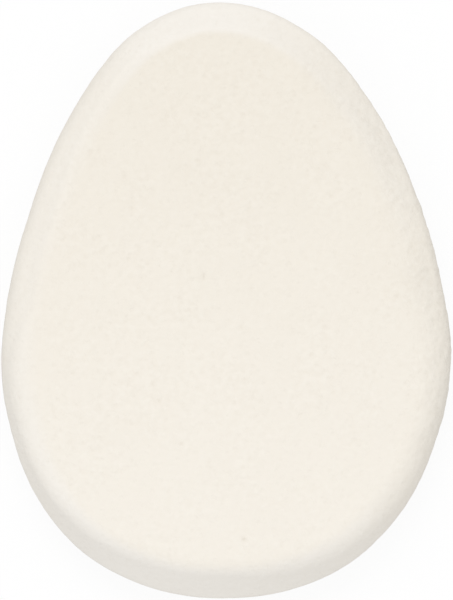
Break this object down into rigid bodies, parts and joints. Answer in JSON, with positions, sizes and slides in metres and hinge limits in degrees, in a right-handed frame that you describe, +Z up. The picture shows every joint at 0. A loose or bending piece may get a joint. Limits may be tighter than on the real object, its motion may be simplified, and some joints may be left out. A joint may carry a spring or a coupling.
{
  "type": "makeup sponge",
  "caption": "Flat egg-shaped foam makeup sponge with bevelled edges, squeezed between thumb and fingers to spread and blend liquid or powder make-up.",
  "frame": {"origin": "middle of the pad's length and width, on its flat back face", "axes": "+X across the pad, +Y from the blunt end to the narrow end, +Z up from the back face to the face"},
  "size_m": [0.06, 0.08, 0.01],
  "materials": {
    "foam": "matt, very fine open cells, cream, a little whiter and rougher on the ground bevels"
  },
  "bodies": {
    "back": {"back_foam": "foam", "core_foam": "foam"},
    "face": {"face_foam": "foam"}
  },
  "joints": [
    {"name": "squeeze", "type": "slide", "parent": "back", "child": "face", "axis": [0, 0, -1], "range_m": [0, 0.005], "stiffness_N_per_m": 6000, "deforming": ["core_foam"]}
  ]
}
